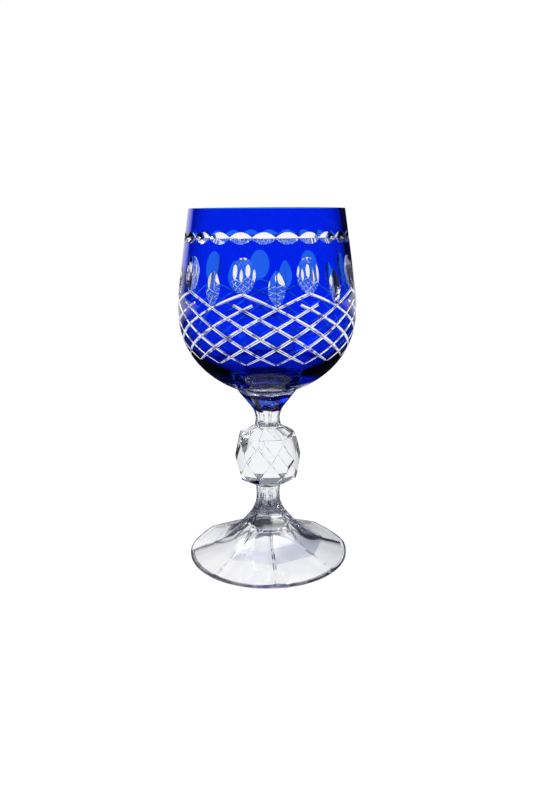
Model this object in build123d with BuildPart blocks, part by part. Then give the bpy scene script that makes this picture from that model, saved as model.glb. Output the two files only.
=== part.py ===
from build123d import *
import os
from math import asin, cos, degrees, radians, sin, sqrt, tan

# Stemmed water goblet: a clear bowl cased in cobalt glass and cut through to the clear, on a
# clear eight-sided stem with a faceted ball and a hollow-backed, eight-sided foot.
# Millimetres, +Z up. The origin is the middle of the foot's resting ring, and the front is -Y.

os.makedirs("parts", exist_ok=True)

# Directions and counts
front = -90.0
sides = 8
repeats = 9
band_count = 24

# Bowl
height = 165.0
belly_radius = 40.5
belly_height = 119.6
bowl_bottom = 81.6
shoulder_radius = 88.0
side_lean = 8.8
hip_turn = 45.0
wall = 2.3
floor_thickness = 5.0
casing_thickness = 0.5
casing_hem_turn = 36.6
lip_bevel = 0.6
casing_lip_bevel = 0.3

# Cutting wheels, and how far every cutter runs past the glass
overrun = 2.0

# Lens band: mitre cuts laid end to end
band_height = 153.0
band_rise = 4.6
band_wheel_radius = 12.0
band_overlap = 0.3

# Olives: tall ovals, ground in with a slanted edge
olive_height = 138.6
olive_length = 13.7
olive_width = 9.6
olive_depth = 1.1
olive_taper = 20.0

# Leaves: short ovals with a mitre root, between the olives
leaf_height = 133.3
leaf_length = 15.0
leaf_width = 6.9
leaf_depth = 1.2

# Diamond lattice: mitre cuts that start under the olives or at the first crossing below them
mitre_half_angle = 40.0
lattice_top = 132.4
lattice_crossing = 124.6
lattice_bottom = 100.1
long_middle = 117.2
short_middle = 112.8
long_sweep = 79.0
short_sweep = 58.0
short_lead = 6.0
mitre_depth = 0.8
mitre_start_depth = 0.62

# Stem, across the flats of its eight sides
neck_flat = 5.35
neck_joint_flat = 5.9
neck_height = 68.9
collar_sweep_radius = 10.2
collar_flare = 36.4
collar_seat_rise = 5.0

# Faceted ball
knop_radius = 15.8
knop_height = 50.8
knop_half_height = 14.5
lozenge_half_height = 8.3
crown_height = 10.7
knop_joint_flat = 6.2

# Foot
foot_radius = 38.3
foot_edge_height = 2.75
foot_bevel = 0.9
foot_bevel_height = 0.8
foot_top_bevel_height = 1.9
ankle_flat = 18.4
ankle_height = 8.6
ankle_sweep_radius = 25.0
lower_neck_top = 33.2
lower_neck_bottom = 25.3
lower_neck_sweep_radius = 15.0
lower_neck_top_radius = 10.0
foot_edge_flat = 35.4
resting_ring_width = 1.6
hollow_bend_radius = 19.5
hollow_bend_height = 4.0
hollow_top_radius = 7.0
hollow_top_height = 13.2
hollow_bend_sweep = 24.0
hollow_top_sweep = 5.0

# What follows from them
side_angle = 360 / sides
repeat_angle = 360 / repeats
flat_azimuth = front + side_angle / 2
seam_azimuth = front + repeat_angle / 8
olive_azimuth = front + repeat_angle / 2
knop_joint_low = knop_height - knop_half_height
knop_joint_high = knop_height + knop_half_height


def arc_rise(half_chord, radius):
    """How far an arc of this radius rises over half its chord."""
    return radius - sqrt(radius**2 - half_chord**2)


def arc_radius(half_chord, rise):
    """The radius of an arc that rises this far over half its chord."""
    return (half_chord**2 + rise**2) / (2 * rise)


def hip_radius(inset, bottom):
    """The bowl is an arc below its belly, then a sphere about the axis: the radius of that arc."""
    turn = radians(hip_turn)
    slope = tan(radians(90 - hip_turn) / 2)
    drop = (belly_radius - inset) * slope
    return (belly_height - drop - bottom) / (sin(turn) - (1 - cos(turn)) * slope)


def sole_radius(inset, bottom):
    """The radius of the sphere under the bowl, for the surface that lies inset inside the outside."""
    turn = radians(hip_turn)
    return (belly_radius - inset - hip_radius(inset, bottom) * (1 - cos(turn))) / cos(turn)


def bowl_curve(inset, bottom, end_turn=0):
    """Draws one bowl surface from the rim to end_turn degrees from the axis, and returns its ends."""
    belly = (belly_radius - inset, belly_height)
    shoulder = JernArc(belly, (0, 1), shoulder_radius - inset, side_lean)
    rise = height - (shoulder @ 1).Y
    side = PolarLine(shoulder @ 1, rise, 90 + side_lean, length_mode=LengthMode.VERTICAL)
    hip = JernArc(belly, (0, -1), hip_radius(inset, bottom), -hip_turn)
    sole = JernArc(hip @ 1, hip % 1, sole_radius(inset, bottom), hip_turn + end_turn - 90)
    return side @ 1, sole @ 1


def bowl_lean(z):
    """The angle of the bowl's outside from upright at height z."""
    rise = z - belly_height
    if rise < 0:
        return degrees(asin(rise / hip_radius(0, bowl_bottom)))
    return min(side_lean, degrees(asin(min(1, rise / shoulder_radius))))


def bowl_radius(z):
    """The bowl's outside radius at height z, from its hip to its rim."""
    rise = z - belly_height
    straight = rise - shoulder_radius * sin(radians(side_lean))
    if rise < 0:
        return belly_radius - arc_rise(rise, hip_radius(0, bowl_bottom))
    if straight < 0:
        return belly_radius - arc_rise(rise, shoulder_radius)
    return belly_radius - shoulder_radius * (1 - cos(radians(side_lean))) - straight * tan(radians(side_lean))


def bowl_point(azimuth, z, depth):
    """A point at this depth under the bowl's outside, at an azimuth from the front."""
    turn = radians(front + azimuth)
    out = bowl_radius(z) - depth / cos(radians(bowl_lean(z)))
    return Vector(out * cos(turn), out * sin(turn), z)


def wheel_plane(z, axle_upright):
    """The plane a wheel turns in against the bowl: x out of the glass, y along the axle."""
    lean = radians(bowl_lean(z))
    across = (0, -1, 0) if axle_upright else (-sin(lean), 0, cos(lean))
    return Plane(origin=(bowl_radius(z), 0, z), x_dir=(cos(lean), 0, sin(lean)), z_dir=across)


def face_plane(z):
    """The plane that touches the bowl at height z and azimuth 0: x across, y up, z out of the glass."""
    lean = radians(bowl_lean(z))
    return Plane(origin=(bowl_radius(z), 0, z), x_dir=(0, 1, 0), z_dir=(cos(lean), 0, sin(lean)))


def mitre_wheel(plane, radius, depth, half_width):
    """A wheel with a V edge, sunk to depth, whose cut is twice half_width across at the surface."""
    hub = radius - depth
    reach = half_width * (depth + overrun) / depth
    with BuildPart() as wheel:
        with BuildSketch(plane):
            with BuildLine():
                Polyline((-depth, 0), (overrun, reach), (hub, reach), (hub, 0))
                mirror(about=Plane.XZ)
            make_face()
        revolve(axis=Axis(plane.from_local_coords((hub, 0, 0)), plane.y_dir))
    return wheel.part


def mitre_ring(start, middle, end):
    """A ring with a V edge turned inwards, whose tip runs along the arc through three points."""
    tip = Edge.make_three_point_arc(start, middle, end)
    centre = tip.arc_center
    axis_dir = (start - centre).cross(end - centre).normalized()
    out = (start - centre).normalized()
    reach = overrun * tan(radians(mitre_half_angle))
    turn = degrees(tip.length / tip.radius)
    with BuildPart() as ring:
        with BuildSketch(Plane(origin=centre, x_dir=out, z_dir=out.cross(axis_dir))):
            with BuildLine():
                Polyline((tip.radius, 0), (tip.radius + overrun, reach), (tip.radius + overrun, -reach), close=True)
            make_face()
        revolve(axis=Axis(centre, axis_dir), revolution_arc=turn)
    return ring.part


def flat_plane(azimuth):
    """An upright plane through the axis: x out at the azimuth, y up."""
    turn = radians(azimuth)
    return Plane(origin=(0, 0, 0), x_dir=(cos(turn), sin(turn), 0), z_dir=(sin(turn), -cos(turn), 0))


# Wheels for the lens band, the olives and the leaves, standing at azimuth 0
band_radius = bowl_radius(band_height)
band_half_length = band_radius * sin(radians(180 / band_count)) + band_overlap
band_depth = arc_rise(band_half_length, band_radius) + arc_rise(band_half_length, band_wheel_radius)
band_wheel = mitre_wheel(wheel_plane(band_height, True), band_wheel_radius, band_depth, band_rise / 2)

with BuildPart() as olive_cut:
    with BuildSketch(face_plane(olive_height)) as olive_outline:
        Ellipse(olive_width / 2, olive_length / 2)
    extrude(amount=-olive_depth, taper=olive_taper)
    extrude(olive_outline.sketch, amount=overrun)

leaf_drop = arc_rise(leaf_width / 2, bowl_radius(leaf_height))
leaf_half_width = leaf_width / 2 * leaf_depth / (leaf_depth - leaf_drop)
leaf_wheel_radius = arc_radius(leaf_length / 2, leaf_depth)
leaf_wheel = mitre_wheel(wheel_plane(leaf_height, False), leaf_wheel_radius, leaf_depth, leaf_half_width)

# Mitre cuts of the lattice: one long and one short, each with its mirror image
long_start = bowl_point(repeat_angle / 2, lattice_top, mitre_start_depth)
long_mid = bowl_point(repeat_angle / 2 + long_sweep / 2, long_middle, mitre_depth)
long_end = bowl_point(repeat_angle / 2 + long_sweep, lattice_bottom, 0)
long_mitre = mitre_ring(long_start, long_mid, long_end)

short_rise = (lattice_top - lattice_crossing) * short_lead / repeat_angle * 2
short_start = bowl_point(repeat_angle / 2 - short_lead, lattice_crossing + short_rise, mitre_start_depth)
short_mid = bowl_point(repeat_angle / 2 + short_sweep / 2, short_middle, mitre_depth)
short_end = bowl_point(repeat_angle / 2 + short_sweep, lattice_bottom, 0)
short_mitre = mitre_ring(short_start, short_mid, short_end)

# Clear inner layer of the bowl, which comes out flush below the overlay's hem, where the collar sits
with BuildPart() as bowl_lining:
    with BuildSketch(flat_plane(seam_azimuth)):
        with BuildLine():
            seam_rim, seam_hem = bowl_curve(casing_thickness, bowl_bottom + casing_thickness, casing_hem_turn)
            step = PolarLine(seam_hem, casing_thickness, casing_hem_turn - 90)
            hem_slope = (-cos(radians(casing_hem_turn)), -sin(radians(casing_hem_turn)))
            sole = JernArc(step @ 1, hem_slope, sole_radius(0, bowl_bottom), -casing_hem_turn)
            inner_rim, inner_floor = bowl_curve(wall, bowl_bottom + floor_thickness)
            Line(seam_rim, inner_rim)
            Line(sole @ 1, inner_floor)
        make_face()
    revolve(axis=Axis.Z)
    rim_edges = bowl_lining.edges().filter_by(GeomType.CIRCLE).group_by(Axis.Z)[-1]
    chamfer(rim_edges.sort_by(SortBy.RADIUS)[0], lip_bevel)

bowl_lining.part.label = "bowl_lining"
export_step(bowl_lining.part, "parts/bowl_lining.step")

# Cobalt overlay, ground away under the bowl and cut through in the pattern
with BuildPart() as bowl_casing:
    with BuildSketch(flat_plane(seam_azimuth)):
        with BuildLine():
            outer_rim, outer_hem = bowl_curve(0, bowl_bottom, casing_hem_turn)
            seam_rim, seam_hem = bowl_curve(casing_thickness, bowl_bottom + casing_thickness, casing_hem_turn)
            Line(outer_rim, seam_rim)
            Line(outer_hem, seam_hem)
        make_face()
    revolve(axis=Axis.Z)
    rim_edges = bowl_casing.edges().filter_by(GeomType.CIRCLE).group_by(Axis.Z)[-1]
    chamfer(rim_edges.sort_by(SortBy.RADIUS)[-1], casing_lip_bevel)
    with PolarLocations(0, band_count, start_angle=front + 180 / band_count):
        add(band_wheel, mode=Mode.SUBTRACT)
    with PolarLocations(0, repeats, start_angle=olive_azimuth):
        add(olive_cut.part, mode=Mode.SUBTRACT)
    with PolarLocations(0, repeats, start_angle=front):
        add(leaf_wheel, mode=Mode.SUBTRACT)
    with PolarLocations(0, repeats):
        add([long_mitre, short_mitre], mode=Mode.SUBTRACT)
    with PolarLocations(0, repeats):
        add([long_mitre.mirror(Plane.YZ), short_mitre.mirror(Plane.YZ)], mode=Mode.SUBTRACT)

bowl_casing.part.label = "bowl_casing"
export_step(bowl_casing.part, "parts/bowl_casing.step")

# Collar and upper neck, seated on the clear sphere under the bowl
with BuildPart() as stem_collar:
    for side in range(sides // 2):
        with BuildSketch(flat_plane(flat_azimuth + side * side_angle)):
            with BuildLine():
                seat_top = bowl_bottom + collar_seat_rise
                Polyline((0, knop_joint_high), (neck_joint_flat, knop_joint_high), (neck_flat, neck_height))
                sweep = JernArc((neck_flat, neck_height), (0, 1), collar_sweep_radius, -collar_flare)
                rise = seat_top - (sweep @ 1).Y
                flare = PolarLine(sweep @ 1, rise, 90 - collar_flare, length_mode=LengthMode.VERTICAL)
                Line(flare @ 1, (0, seat_top))
                mirror(about=Plane.YZ)
            make_face()
        extrude(amount=belly_radius, both=True, mode=Mode.INTERSECT if side else Mode.ADD)
    with Locations((0, 0, bowl_bottom + sole_radius(0, bowl_bottom))):
        Sphere(sole_radius(0, bowl_bottom), mode=Mode.SUBTRACT)

stem_collar.part.label = "stem_collar"
export_step(stem_collar.part, "parts/stem_collar.step")

# Faceted ball: a girdle of eight lozenges, with a slanted ring and a crown ring above and below
with BuildPart() as stem_knop:
    lozenge_flat = knop_radius * cos(radians(side_angle / 2))
    ring_slope = (knop_radius - lozenge_flat * cos(radians(side_angle / 2))) / lozenge_half_height
    crown_flat = knop_radius - crown_height * ring_slope
    with BuildSketch(Plane.XY.offset(knop_joint_low)):
        RegularPolygon(lozenge_flat, sides, major_radius=False, rotation=front)
    extrude(amount=knop_half_height * 2)
    for side in range(sides // 2):
        with BuildSketch(flat_plane(front + side * side_angle)):
            with BuildLine():
                Polyline(
                    (0, knop_joint_high),
                    (knop_joint_flat, knop_joint_high),
                    (crown_flat, knop_height + crown_height),
                    (knop_radius, knop_height),
                    (crown_flat, knop_height - crown_height),
                    (knop_joint_flat, knop_joint_low),
                    (0, knop_joint_low),
                )
                mirror(about=Plane.YZ)
            make_face()
        extrude(amount=knop_radius * 2, both=True, mode=Mode.INTERSECT)

stem_knop.part.label = "stem_knop"
export_step(stem_knop.part, "parts/stem_knop.step")

# Lower neck and foot
with BuildPart() as foot:
    foot_slope = (ankle_height - foot_edge_height) / (foot_edge_flat - ankle_flat)
    rim_height = foot_edge_height - (foot_radius + overrun - foot_edge_flat) * foot_slope
    for side in range(sides // 2):
        with BuildSketch(flat_plane(flat_azimuth + side * side_angle)):
            with BuildLine():
                FilletPolyline(
                    (knop_joint_flat, knop_joint_low),
                    (neck_flat, lower_neck_top),
                    (neck_flat, lower_neck_bottom),
                    (ankle_flat, ankle_height),
                    (foot_radius + overrun, rim_height),
                    radius=(lower_neck_top_radius, lower_neck_sweep_radius, ankle_sweep_radius),
                )
                Polyline((foot_radius + overrun, rim_height), (foot_radius + overrun, 0), (0, 0))
                Line((0, knop_joint_low), (knop_joint_flat, knop_joint_low))
                mirror(about=Plane.YZ)
            make_face()
        extrude(amount=foot_radius * 2, both=True, mode=Mode.INTERSECT if side else Mode.ADD)
    # The round edge, bevelled above and below
    with BuildSketch(flat_plane(seam_azimuth)):
        with BuildLine():
            ring_outside = foot_radius - foot_bevel
            Polyline(
                (0, 0),
                (ring_outside, 0),
                (foot_radius, foot_bevel_height),
                (foot_radius, foot_top_bevel_height),
                (ring_outside, foot_edge_height),
                (ring_outside, knop_joint_low),
                (0, knop_joint_low),
                close=True,
            )
        make_face()
    revolve(axis=Axis.Z, mode=Mode.INTERSECT)
    # The hollow back
    with BuildSketch(flat_plane(seam_azimuth)):
        with BuildLine():
            ring_inside = ring_outside - resting_ring_width
            FilletPolyline(
                (ring_inside, 0),
                (hollow_bend_radius, hollow_bend_height),
                (hollow_top_radius, hollow_top_height),
                (0, hollow_top_height),
                radius=(hollow_bend_sweep, hollow_top_sweep),
            )
            Polyline((0, hollow_top_height), (0, 0), (ring_inside, 0))
        make_face()
    revolve(axis=Axis.Z, mode=Mode.SUBTRACT)

foot.part.label = "foot"
export_step(foot.part, "parts/foot.step")
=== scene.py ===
"""Looks of a stemmed water goblet: a cobalt-cased bowl cut to clear glass, on a clear faceted stem.

The bowl is turned on a lathe and cut with the same wheels as the real one: a band of lens cuts under the
rim, tall olives, short leaves between them, and a lattice of mitre grooves. The collar, the faceted ball and
the foot are eight-sided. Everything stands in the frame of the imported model, in metres. Sizes are held in
millimetres and angles in degrees, unless a docstring says otherwise.
"""

import logging
from collections.abc import Callable, Sequence
from dataclasses import dataclass, field
from enum import Enum, IntEnum
from math import asin, atan2, ceil, cos, pi, radians, sin, sqrt, tan

import bpy
from mathutils import Matrix, Vector


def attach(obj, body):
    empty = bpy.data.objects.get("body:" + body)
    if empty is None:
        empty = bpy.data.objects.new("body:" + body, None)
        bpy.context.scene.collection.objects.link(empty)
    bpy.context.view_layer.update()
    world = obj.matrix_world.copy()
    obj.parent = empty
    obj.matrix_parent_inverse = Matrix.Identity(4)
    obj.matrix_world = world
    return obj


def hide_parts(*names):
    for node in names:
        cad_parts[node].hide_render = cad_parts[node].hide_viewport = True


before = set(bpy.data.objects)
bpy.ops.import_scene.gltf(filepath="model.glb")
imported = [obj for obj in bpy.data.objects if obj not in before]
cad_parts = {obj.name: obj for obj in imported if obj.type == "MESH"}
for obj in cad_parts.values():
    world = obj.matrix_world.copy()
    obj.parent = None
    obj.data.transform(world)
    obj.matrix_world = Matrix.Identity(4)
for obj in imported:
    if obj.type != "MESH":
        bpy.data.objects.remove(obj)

log = logging.getLogger("goblet")

Point = tuple[float, float]
Colour = tuple[float, float, float]
Piece = bpy.types.Object
Face = bpy.types.MeshPolygon
Tree = bpy.types.ShaderNodeTree
Socket = bpy.types.NodeSocket

# Units, tolerances (in metres, and as the share of a normal that is level), and sizes that pieces share

MM = 0.001
WELD = 1e-6
SIDEWAYS = 0.99
ROOT = "root"
WHITE: Colour = (1.0, 1.0, 1.0)
FRONT = -90.0
SIDES = 8
HIGH_JOINT = 65.3
LOW_JOINT = 36.3
NECK_FLAT = 5.35
JOINT_FLAT = 5.9


class Slot(Enum):
    """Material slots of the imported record."""

    COBALT = "cobalt_glass"
    BOWL = "clear_bowl_glass"
    STEM = "clear_stem_glass"


class Join(Enum):
    """What a second solid does to a piece."""

    CUT = "DIFFERENCE"
    KEEP = "INTERSECT"


class CutterFinish(IntEnum):
    """Where each finish stands among a cutter's materials."""

    WALL = 0
    # The fine edge carries the painted shade of the root line.
    EDGE = 1


class BowlFinish(IntEnum):
    """Where each finish stands among the materials of the lining and the overlay."""

    BODY = 0
    POLISHED = 1
    SATIN = 2
    FUSED = 3
    # Painted shade: the dark line at the root of each cut.
    CUT_ROOT = 4
    FILM = 5
    # Deep blue under the floor's middle, partly painted shade.
    NAVY_AND_SHADE = 6


class StemFinish(IntEnum):
    """Where each finish stands among the materials of the collar, the ball and the foot."""

    BODY = 0
    FUSED = 1
    # Painted shade along the collar's ridges, the ball's edges and the foot's rim.
    EDGE = 2
    NECK = 3
    # Painted shade in bands beside the foot's ridges.
    RIDGE = 4


# Mesh work


def pick_only(piece: Piece) -> None:
    """Deselects everything, then selects one object and makes it active."""
    bpy.ops.object.select_all(action="DESELECT")
    piece.select_set(True)
    bpy.context.view_layer.objects.active = piece


def rise_of_arc(half_chord: float, radius: float) -> float:
    """How far an arc of this radius rises over half its chord."""
    return radius - sqrt(radius**2 - half_chord**2)


def radius_of_arc(half_chord: float, rise: float) -> float:
    """The radius of an arc that rises this far over half its chord."""
    return (half_chord**2 + rise**2) / (2 * rise)


def sample_arc(centre: Point, radius: float, start: float, end: float, spacing: float) -> list[Point]:
    """Points along an arc, both ends included.

    Args:
        centre: The arc's centre.
        radius: Its radius.
        start: The first angle in radians, from +x towards +z.
        end: The last angle in radians.
        spacing: The longest step along the arc.

    Returns:
        The points, in order.
    """
    steps = max(2, ceil(abs(end - start) * radius / spacing))
    turns = [start + (end - start) * step / steps for step in range(steps + 1)]
    return [(centre[0] + radius * cos(turn), centre[1] + radius * sin(turn)) for turn in turns]


def round_corners(corners: Sequence[Point], radii: Sequence[float], spacing: float) -> list[Point]:
    """A run of straight lines with its inner corners rounded by tangent arcs.

    Args:
        corners: The corners of the run, with its two ends.
        radii: One radius for each inner corner, or 0 for a sharp one.
        spacing: The longest step along an arc.

    Returns:
        The points of the rounded run.
    """
    points = [corners[0]]
    for before, corner, after, radius in zip(corners, corners[1:], corners[2:], radii):
        if radius == 0:
            points.append(corner)
            continue
        to_before = (Vector(before) - Vector(corner)).normalized()
        to_after = (Vector(after) - Vector(corner)).normalized()
        half = to_before.angle(to_after) / 2
        centre = Vector(corner) + (to_before + to_after).normalized() * (radius / sin(half))
        first = Vector(corner) + to_before * (radius / tan(half)) - centre
        last = Vector(corner) + to_after * (radius / tan(half)) - centre
        start = atan2(first.y, first.x)
        turn = (atan2(last.y, last.x) - start + pi) % (2 * pi) - pi
        points.extend(sample_arc(tuple(centre), radius, start, start + turn, spacing))
    points.append(corners[-1])
    return points


def draw_wire(name: str, points: Sequence[Point]) -> Piece:
    """Draws a profile in the XZ plane by extruding one vertex from point to point.

    Args:
        name: The new object's name.
        points: The profile, x out from the axis and z up.

    Returns:
        The object, left in edit mode with everything selected.
    """
    bpy.ops.object.select_all(action="DESELECT")
    bpy.ops.mesh.primitive_plane_add(size=MM, enter_editmode=True, location=(0, 0, 0))
    bpy.ops.mesh.merge(type="CENTER")
    bpy.ops.transform.translate(value=(points[0][0] * MM, 0, points[0][1] * MM))
    for (x, z), (next_x, next_z) in zip(points, points[1:]):
        step = ((next_x - x) * MM, 0, (next_z - z) * MM)
        bpy.ops.mesh.extrude_region_move(TRANSFORM_OT_translate={"value": step})
    bpy.ops.mesh.select_all(action="SELECT")
    wire = bpy.context.object
    wire.name = name
    return wire


def weld_and_close(piece: Piece) -> None:
    """Merges the doubles of the mesh in edit mode, turns its faces outwards and leaves edit mode."""
    bpy.ops.mesh.select_all(action="SELECT")
    bpy.ops.mesh.remove_doubles(threshold=WELD)
    bpy.ops.mesh.normals_make_consistent(inside=False)
    bpy.ops.object.mode_set(mode="OBJECT")
    log.debug("%s is closed", piece.name)


def turn_on_lathe(name: str, points: Sequence[Point], steps: int) -> Piece:
    """Spins an open profile once round the Z axis.

    Args:
        name: The new object's name.
        points: The profile, with both ends on the axis or meeting each other.
        steps: How many steps the turn has.

    Returns:
        The closed solid.
    """
    solid = draw_wire(name, points)
    bpy.ops.mesh.spin(steps=steps, angle=2 * pi, center=(0, 0, 0), axis=(0, 0, 1))
    weld_and_close(solid)
    return solid


def place(piece: Piece, x_dir: Vector, y_dir: Vector, z_dir: Vector, origin: Vector) -> None:
    """Puts a mesh made at the origin in its place, and leaves the object itself at the origin.

    Args:
        piece: The object whose mesh moves.
        x_dir: Where its x axis goes.
        y_dir: Where its y axis goes.
        z_dir: Where its z axis goes.
        origin: Where its origin goes.
    """
    turned = Matrix((x_dir, y_dir, z_dir)).transposed().to_4x4()
    piece.matrix_world = Matrix.Translation(origin * MM) @ turned
    pick_only(piece)
    bpy.ops.object.transform_apply(location=True, rotation=True, scale=True)


def copy_round(piece: Piece, azimuths: Sequence[float], mirrored: bool = False) -> Piece:
    """Repeats a piece round the Z axis and joins the copies into one object.

    Args:
        piece: The piece at azimuth 0, which stays as it is.
        azimuths: The azimuths of the copies.
        mirrored: Whether each copy is mirrored about the YZ plane first.

    Returns:
        The joined copies.
    """
    flip = Matrix.Scale(-1, 4, (1, 0, 0)) if mirrored else Matrix.Identity(4)
    copies = []
    for azimuth in azimuths:
        pick_only(piece)
        bpy.ops.object.duplicate(linked=False)
        copy = bpy.context.object
        copy.matrix_world = Matrix.Rotation(radians(azimuth), 4, "Z") @ flip
        bpy.ops.object.transform_apply(location=True, rotation=True, scale=True)
        copies.append(copy)
    bpy.ops.object.select_all(action="DESELECT")
    for copy in copies:
        copy.select_set(True)
    bpy.context.view_layer.objects.active = copies[0]
    bpy.ops.object.join()
    joined = bpy.context.object
    bpy.ops.object.mode_set(mode="EDIT")
    bpy.ops.mesh.select_all(action="SELECT")
    bpy.ops.mesh.normals_make_consistent(inside=False)
    bpy.ops.object.mode_set(mode="OBJECT")
    return joined


def discard(*pieces: Piece) -> None:
    """Deletes objects that have done their work, with their meshes."""
    for piece in pieces:
        bpy.data.meshes.remove(piece.data)


def combine(piece: Piece, tool: Piece, join: Join) -> None:
    """Cuts a piece with a tool, or keeps only what both share.

    Args:
        piece: The piece that is changed. The tool's faces bring their own materials into it.
        tool: The other solid, which stays as it is.
        join: What the tool does.
    """
    pick_only(piece)
    cut = piece.modifiers.new("cut", "BOOLEAN")
    cut.object = tool
    cut.operation = join.value
    cut.solver = "MANIFOLD"
    cut.material_mode = "TRANSFER"
    bpy.ops.object.modifier_apply(modifier=cut.name)


def bevel_ridges(piece: Piece, reach: float, segments: int) -> None:
    """Rounds the ridges of an eight-sided piece, and leaves its level edges alone.

    Args:
        piece: The piece, fresh from its eight-step turn.
        reach: How far the rounding reaches to each side of a ridge.
        segments: How many steps the rounding has.
    """
    pick_only(piece)
    mesh = piece.data
    bpy.ops.object.mode_set(mode="EDIT")
    bpy.ops.mesh.select_all(action="DESELECT")
    bpy.ops.object.mode_set(mode="OBJECT")
    for edge in mesh.edges:
        start, end = (mesh.vertices[index].co for index in edge.vertices)
        on_axis = start.xy.length < WELD or end.xy.length < WELD
        level = abs(start.xy.length - end.xy.length) < WELD and abs(end.z - start.z) < WELD
        edge.select = not on_axis and not level
    bpy.ops.object.mode_set(mode="EDIT")
    bpy.ops.mesh.select_mode(type="EDGE")
    bpy.ops.mesh.bevel(offset=reach * MM, segments=segments, affect="EDGES")
    bpy.ops.mesh.select_mode(type="VERT")
    weld_and_close(piece)


def near_ridge(face: Face, near: float, far: float) -> bool:
    """Whether a face lies between two distances from the nearest ridge of an eight-sided piece.

    Args:
        face: The face.
        near: The shorter distance.
        far: The longer distance.

    Returns:
        Whether it does.
    """
    side = 2 * pi / SIDES
    off_ridge = (atan2(face.center.y, face.center.x) + side / 2) % side - side / 2
    return near <= abs(face.center.xy.length * sin(off_ridge)) / MM < far


def finish_faces(piece: Piece, choose: Callable[[Face], int]) -> None:
    """Gives each face of a piece the finish that a rule chooses from the face's place and normal."""
    for face in piece.data.polygons:
        face.material_index = int(choose(face))


def smooth(piece: Piece, angle: float) -> None:
    """Shades a piece smooth, but for edges that turn by more than the angle."""
    pick_only(piece)
    bpy.ops.object.shade_smooth_by_angle(angle=radians(angle))


# Node work


def start_group(name: str, inputs: dict[str, str], output: str, kind: str) -> Tree:
    """Starts a shader node group with its sockets.

    Args:
        name: The group's name.
        inputs: The kind of each input, by its name: Float, Color or Vector.
        output: The output's name.
        kind: The output's kind.

    Returns:
        The group, empty but for its sockets.
    """
    group = bpy.data.node_groups.new(name, "ShaderNodeTree")
    for socket, socket_kind in inputs.items():
        group.interface.new_socket(socket, in_out="INPUT", socket_type=f"NodeSocket{socket_kind}")
    group.interface.new_socket(output, in_out="OUTPUT", socket_type=f"NodeSocket{kind}")
    return group


def use_group(tree: Tree, group: Tree, values: dict[str, float | Colour]) -> bpy.types.Node:
    """Places a node group in a material or world, with its own values.

    Args:
        tree: The material's or world's nodes.
        group: The group.
        values: The value of each input, by its name.

    Returns:
        The new node.
    """
    node = tree.nodes.new("ShaderNodeGroup")
    node.node_tree = group
    for name, value in values.items():
        socket = node.inputs[name]
        socket.default_value = (*value, 1) if socket.type == "RGBA" else value
    return node


def share_between(tree: Tree, value: Socket, limits: Point) -> Socket:
    """How far a value has run between two limits, from 0 to 1.

    Args:
        tree: The nodes that it goes into.
        value: The socket with the value.
        limits: The value at 0 and the value at 1.

    Returns:
        The socket with the share.
    """
    share = tree.nodes.new("ShaderNodeMapRange")
    share.inputs["From Min"].default_value = limits[0]
    share.inputs["From Max"].default_value = limits[1]
    tree.links.new(value, share.inputs["Value"])
    return share.outputs["Result"]


def blend_colours(tree: Tree, share: Socket, first: Colour | Socket, last: Colour | Socket) -> Socket:
    """Blends two colours.

    Args:
        tree: The nodes that the blend goes into.
        share: The socket with the share of the last colour.
        first: The first colour, or a socket with it.
        last: The last colour, or a socket with it.

    Returns:
        The socket with the blend.
    """
    blend = tree.nodes.new("ShaderNodeMix")
    blend.data_type = "RGBA"
    tree.links.new(share, blend.inputs["Factor"])
    for name, colour in (("A", first), ("B", last)):
        if isinstance(colour, Socket):
            tree.links.new(colour, blend.inputs[name])
        else:
            blend.inputs[name].default_value = (*colour, 1)
    return blend.outputs["Result"]


def start_material(name: str) -> bpy.types.Material:
    """Starts a material with no nodes in it."""
    material = bpy.data.materials.new(name)
    material.use_nodes = True
    material.node_tree.nodes.clear()
    return material


def ripple_group() -> Tree:
    """Builds the slow waviness of hot-worked glass, as a node group that puts out a normal.

    Returns:
        The group, with sockets Size, Height and Normal.
    """
    known = bpy.data.node_groups.get("glass_ripple")
    if known:
        return known
    group = start_group("glass_ripple", {"Size": "Float", "Height": "Float"}, "Normal", "Vector")
    entry = group.nodes.new("NodeGroupInput")
    coordinates = group.nodes.new("ShaderNodeTexCoord")
    noise = group.nodes.new("ShaderNodeTexNoise")
    noise.inputs["Detail"].default_value = 1.5
    noise.inputs["Roughness"].default_value = 0.4
    bump = group.nodes.new("ShaderNodeBump")
    bump.inputs["Strength"].default_value = 1.0
    leave = group.nodes.new("NodeGroupOutput")
    link = group.links.new
    link(coordinates.outputs["Object"], noise.inputs["Vector"])
    link(entry.outputs["Size"], noise.inputs["Scale"])
    link(noise.outputs["Fac"], bump.inputs["Height"])
    link(entry.outputs["Height"], bump.inputs["Distance"])
    link(bump.outputs["Normal"], leave.inputs["Normal"])
    return group


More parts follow.
